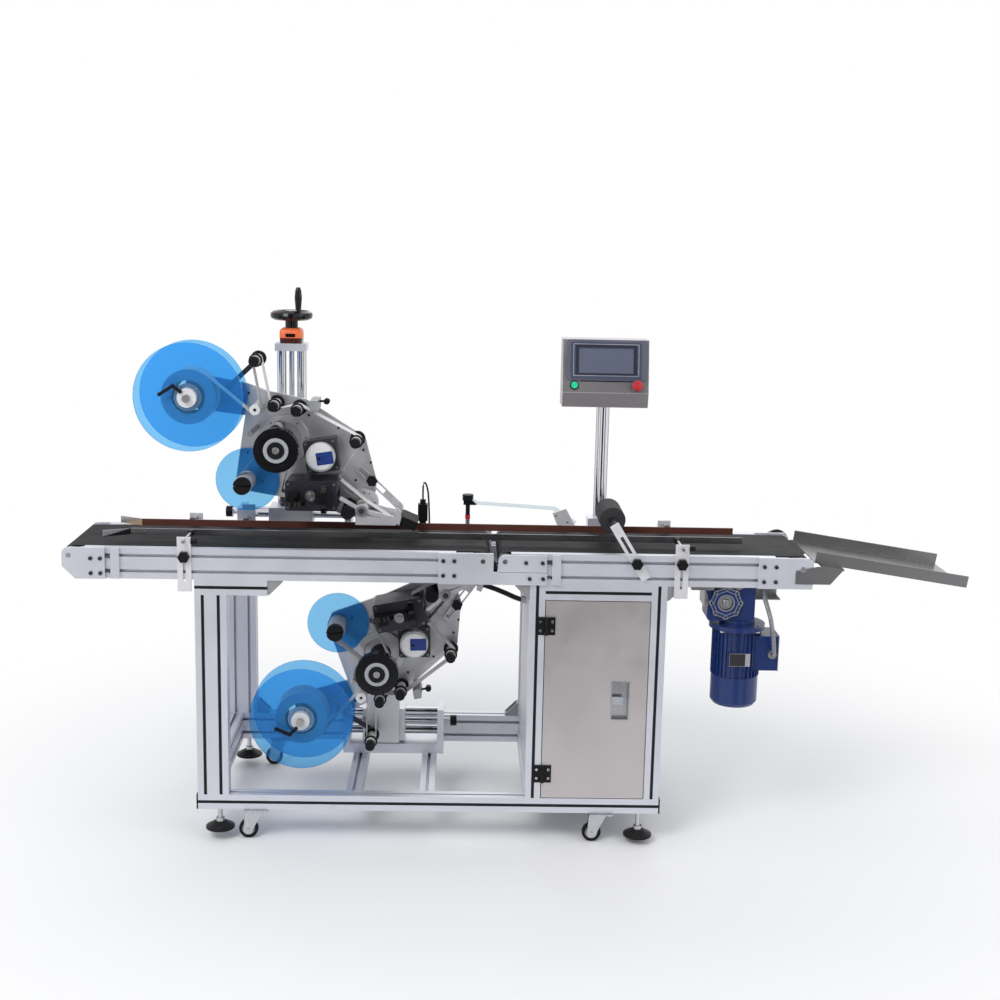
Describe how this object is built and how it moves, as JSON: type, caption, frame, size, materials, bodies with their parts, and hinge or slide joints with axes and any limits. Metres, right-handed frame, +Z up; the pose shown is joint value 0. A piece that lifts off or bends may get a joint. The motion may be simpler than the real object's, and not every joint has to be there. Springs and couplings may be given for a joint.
{
  "type": "flat surface labelling machine",
  "caption": "Table-high labelling machine for flat goods: belt conveyors in line on a slotted aluminium frame, label heads above and below the belts, cabinet and operator panel",
  "frame": {"origin": "centre of the machine's bounding box, on the floor", "axes": "X along the belts towards the outfeed, Y away from the operator, Z up"},
  "size_m": [2.307, 0.6053, 1.418],
  "materials": {
    "anodised": "matt clear anodised",
    "cast_alloy": "bead-blasted casting",
    "black_plastic": "moulded, slight grain",
    "belt_rubber": "matt woven-back belt",
    "dark_steel": "blackened, oiled",
    "clear_acrylic": "polished clear sheet",
    "brown_plastic": "dull extruded bar",
    "stainless": "brushed",
    "sponge": "open foam",
    "blue_paint": "satin enamel",
    "black_rubber": "matt",
    "panel_sheet": "satin powder coat",
    "grey_plastic": "moulded",
    "chrome": "polished",
    "grey_paint": "fine texture",
    "screen_glass": "dull glass in a moulded rim",
    "green_plastic": "moulded",
    "red_plastic": "moulded",
    "black_gloss": "polished",
    "zinc": "bright zinc plate",
    "wheel_rubber": "hard rubber",
    "grey_anodised": "dark anodised",
    "reel_acrylic": "blue-tinted clear disc"
  },
  "bodies": {
    "frame": {"frame_beams": "anodised", "upright_posts": "anodised", "frame_fittings": "cast_alloy", "door_hinges": "black_plastic", "slot_covers": "black_plastic", "conveyor_rails": "anodised", "conveyor_plates": "anodised", "conveyor_belts": "belt_rubber", "screws": "dark_steel", "guide_brackets": "anodised", "clamp_knobs": "black_plastic", "outfeed_chute": "stainless", "product_sensors": "black_plastic", "gearbox": "cast_alloy", "motor": "blue_paint", "drive_chain": "dark_steel", "cables": "black_rubber", "cabinet_panels": "panel_sheet", "control_gear": "grey_plastic", "panel_post": "chrome", "head_stages": "anodised"},
    "feet": {"levelling_feet": "black_plastic"},
    "fork_fl": {"castor_fork_fl": "zinc"},
    "wheel_fl": {"castor_wheel_fl": "wheel_rubber"},
    "fork_fr": {"castor_fork_fr": "zinc"},
    "wheel_fr": {"castor_wheel_fr": "wheel_rubber"},
    "fork_rl": {"castor_fork_rl": "zinc"},
    "wheel_rl": {"castor_wheel_rl": "wheel_rubber"},
    "fork_rr": {"castor_fork_rr": "zinc"},
    "wheel_rr": {"castor_wheel_rr": "wheel_rubber"},
    "infeed_idler_roller": {"infeed_idler_roller": "stainless"},
    "infeed_drive_roller": {"infeed_drive_roller": "stainless"},
    "outfeed_idler_roller": {"outfeed_idler_roller": "stainless"},
    "outfeed_drive_roller": {"outfeed_drive_roller": "stainless"},
    "near_guide": {"near_guide": "clear_acrylic"},
    "far_guide": {"far_guide": "brown_plastic"},
    "press_arm": {"press_arm": "stainless"},
    "sponge_roller": {"sponge_roller": "sponge"},
    "drive_sprocket": {"drive_sprocket": "dark_steel"},
    "cabinet_door": {"cabinet_door": "panel_sheet"},
    "start_button": {"start_button": "green_plastic"},
    "stop_button": {"stop_button": "red_plastic"},
    "lift_column": {"lift_column": "stainless"},
    "handwheel": {"handwheel": "black_gloss"},
    "panel": {"panel_box": "grey_paint", "panel_screen": "screen_glass"},
    "upper_head": {"upper_head_plate": "anodised", "upper_feed_unit": "grey_anodised"},
    "upper_supply_reel": {"upper_supply_reel": "reel_acrylic"},
    "upper_rewind_reel": {"upper_rewind_reel": "reel_acrylic"},
    "upper_feed_wheel": {"upper_feed_wheel": "black_plastic"},
    "upper_dancer_arm": {"upper_dancer_arm": "grey_anodised"},
    "upper_peel_arm": {"upper_peel_arm": "stainless"},
    "lower_head": {"lower_head_plate": "anodised", "lower_feed_unit": "grey_anodised"},
    "lower_supply_reel": {"lower_supply_reel": "reel_acrylic"},
    "lower_rewind_reel": {"lower_rewind_reel": "reel_acrylic"},
    "lower_feed_wheel": {"lower_feed_wheel": "black_plastic"},
    "lower_dancer_arm": {"lower_dancer_arm": "grey_anodised"},
    "lower_peel_arm": {"lower_peel_arm": "stainless"}
  },
  "joints": [
    {"name": "feet_height", "type": "slide", "parent": "frame", "child": "feet", "axis": [0, 0, 1], "range_m": [-0.012, 0]},
    {"name": "swivel_fl", "type": "hinge", "parent": "frame", "child": "fork_fl", "pos_m": [-0.67352, -0.26275, 0.07], "axis": [0, 0, 1], "continuous": true},
    {"name": "roll_fl", "type": "hinge", "parent": "fork_fl", "child": "wheel_fl", "pos_m": [-0.69552, -0.26275, 0.025], "axis": [0, 1, 0], "continuous": true},
    {"name": "swivel_fr", "type": "hinge", "parent": "frame", "child": "fork_fr", "pos_m": [0.22648, -0.26275, 0.07], "axis": [0, 0, 1], "continuous": true},
    {"name": "roll_fr", "type": "hinge", "parent": "fork_fr", "child": "wheel_fr", "pos_m": [0.20448, -0.26275, 0.025], "axis": [0, 1, 0], "continuous": true},
    {"name": "swivel_rl", "type": "hinge", "parent": "frame", "child": "fork_rl", "pos_m": [-0.67352, 0.26525, 0.07], "axis": [0, 0, 1], "continuous": true},
    {"name": "roll_rl", "type": "hinge", "parent": "fork_rl", "child": "wheel_rl", "pos_m": [-0.69552, 0.26525, 0.025], "axis": [0, 1, 0], "continuous": true},
    {"name": "swivel_rr", "type": "hinge", "parent": "frame", "child": "fork_rr", "pos_m": [0.22648, 0.26525, 0.07], "axis": [0, 0, 1], "continuous": true},
    {"name": "roll_rr", "type": "hinge", "parent": "fork_rr", "child": "wheel_rr", "pos_m": [0.20448, 0.26525, 0.025], "axis": [0, 1, 0], "continuous": true},
    {"name": "infeed_drive", "type": "hinge", "parent": "frame", "child": "infeed_drive_roller", "pos_m": [-0.09552, -0.13275, 0.758], "axis": [0, 1, 0], "continuous": true},
    {"name": "infeed_idler", "type": "hinge", "parent": "frame", "child": "infeed_idler_roller", "pos_m": [-1.13452, -0.13275, 0.758], "axis": [0, 1, 0], "continuous": true},
    {"name": "outfeed_idler", "type": "hinge", "parent": "frame", "child": "outfeed_idler_roller", "pos_m": [-0.03952, -0.13275, 0.758], "axis": [0, 1, 0], "continuous": true},
    {"name": "outfeed_drive", "type": "hinge", "parent": "frame", "child": "outfeed_drive_roller", "pos_m": [0.71838, -0.13275, 0.751], "axis": [0, 1, 0], "continuous": true},
    {"name": "gear_output", "type": "hinge", "parent": "frame", "child": "drive_sprocket", "pos_m": [0.52948, -0.13275, 0.654], "axis": [0, 1, 0], "continuous": true},
    {"name": "near_guide_slide", "type": "slide", "parent": "frame", "child": "near_guide", "axis": [0, 1, 0], "range_m": [-0.03, 0.012]},
    {"name": "far_guide_slide", "type": "slide", "parent": "frame", "child": "far_guide", "axis": [0, 1, 0], "range_m": [-0.006, 0.014]},
    {"name": "press_arm_pivot", "type": "hinge", "parent": "frame", "child": "press_arm", "pos_m": [0.29448, -0.28675, 0.758], "axis": [0, 1, 0], "range_deg": [-5, 20]},
    {"name": "sponge_spin", "type": "hinge", "parent": "press_arm", "child": "sponge_roller", "pos_m": [0.24014, -0.12275, 0.84667], "axis": [0, 1, 0], "continuous": true},
    {"name": "door_hinge", "type": "hinge", "parent": "frame", "child": "cabinet_door", "pos_m": [0.06948, -0.28775, 0.39], "axis": [0, 0, 1], "range_deg": [-110, 0]},
    {"name": "panel_turn", "type": "hinge", "parent": "frame", "child": "panel", "pos_m": [0.22748, 0.05125, 1.134], "axis": [0, 0, 1], "range_deg": [-45, 45]},
    {"name": "start_press", "type": "slide", "parent": "panel", "child": "start_button", "axis": [0, 0.9778, -0.2095], "range_m": [0, 0.003], "stiffness_N_per_m": 900},
    {"name": "stop_press", "type": "slide", "parent": "panel", "child": "stop_button", "axis": [0, 0.9778, -0.2095], "range_m": [0, 0.004], "stiffness_N_per_m": 900},
    {"name": "column_slide", "type": "slide", "parent": "frame", "child": "lift_column", "axis": [1, 0, 0], "range_m": [-0.04, 0.04]},
    {"name": "upper_height", "type": "slide", "parent": "lift_column", "child": "upper_head", "axis": [0, 0, 1], "range_m": [-0.005, 0.1]},
    {"name": "handwheel_turn", "type": "hinge", "parent": "lift_column", "child": "handwheel", "pos_m": [-0.61652, 0.07925, 1.33], "axis": [0, 0, 1], "range_deg": [-450, 9000]},
    {"name": "lower_slide", "type": "slide", "parent": "frame", "child": "lower_head", "axis": [1, 0, 0], "range_m": [-0.03, 0.04]},
    {"name": "upper_supply_spin", "type": "hinge", "parent": "upper_head", "child": "upper_supply_reel", "pos_m": [-0.85962, -0.08675, 1.1407], "axis": [0, 1, 0], "continuous": true},
    {"name": "upper_rewind_spin", "type": "hinge", "parent": "upper_head", "child": "upper_rewind_reel", "pos_m": [-0.72142, -0.08675, 0.9137], "axis": [0, 1, 0], "continuous": true},
    {"name": "upper_feed_spin", "type": "hinge", "parent": "upper_head", "child": "upper_feed_wheel", "pos_m": [-0.62262, -0.08675, 1.0217], "axis": [0, 1, 0], "continuous": true},
    {"name": "upper_dancer_swing", "type": "hinge", "parent": "upper_head", "child": "upper_dancer_arm", "pos_m": [-0.76862, -0.08675, 1.1597], "axis": [0, 1, 0], "range_deg": [-20, 25]},
    {"name": "upper_peel_swing", "type": "hinge", "parent": "upper_head", "child": "upper_peel_arm", "pos_m": [-0.41062, -0.08675, 0.8577], "axis": [0, 1, 0], "range_deg": [-3, 3]},
    {"name": "lower_supply_spin", "type": "hinge", "parent": "lower_head", "child": "lower_supply_reel", "pos_m": [-0.57824, -0.03715, 0.26025], "axis": [0, 1, 0], "continuous": true},
    {"name": "lower_rewind_spin", "type": "hinge", "parent": "lower_head", "child": "lower_rewind_reel", "pos_m": [-0.48502, -0.03715, 0.50913], "axis": [0, 1, 0], "continuous": true},
    {"name": "lower_feed_spin", "type": "hinge", "parent": "lower_head", "child": "lower_feed_wheel", "pos_m": [-0.36773, -0.03715, 0.42155], "axis": [0, 1, 0], "continuous": true},
    {"name": "lower_dancer_swing", "type": "hinge", "parent": "lower_head", "child": "lower_dancer_arm", "pos_m": [-0.48529, -0.03715, 0.25864], "axis": [0, 1, 0], "range_deg": [-20, 25]},
    {"name": "lower_peel_swing", "type": "hinge", "parent": "lower_head", "child": "lower_peel_arm", "pos_m": [-0.19022, -0.03715, 0.62237], "axis": [0, 1, 0], "range_deg": [-3, 3]}
  ],
  "couplings": [
    {"joint": "handwheel_turn", "follows": "upper_height", "rad_per_m": 1569.9},
    {"joint": "outfeed_drive", "follows": "gear_output", "ratio": 1},
    {"joint": "outfeed_idler", "follows": "gear_output", "ratio": 1.4118},
    {"joint": "infeed_drive", "follows": "gear_output", "ratio": 1.4118},
    {"joint": "infeed_idler", "follows": "gear_output", "ratio": 1.4118}
  ]
}
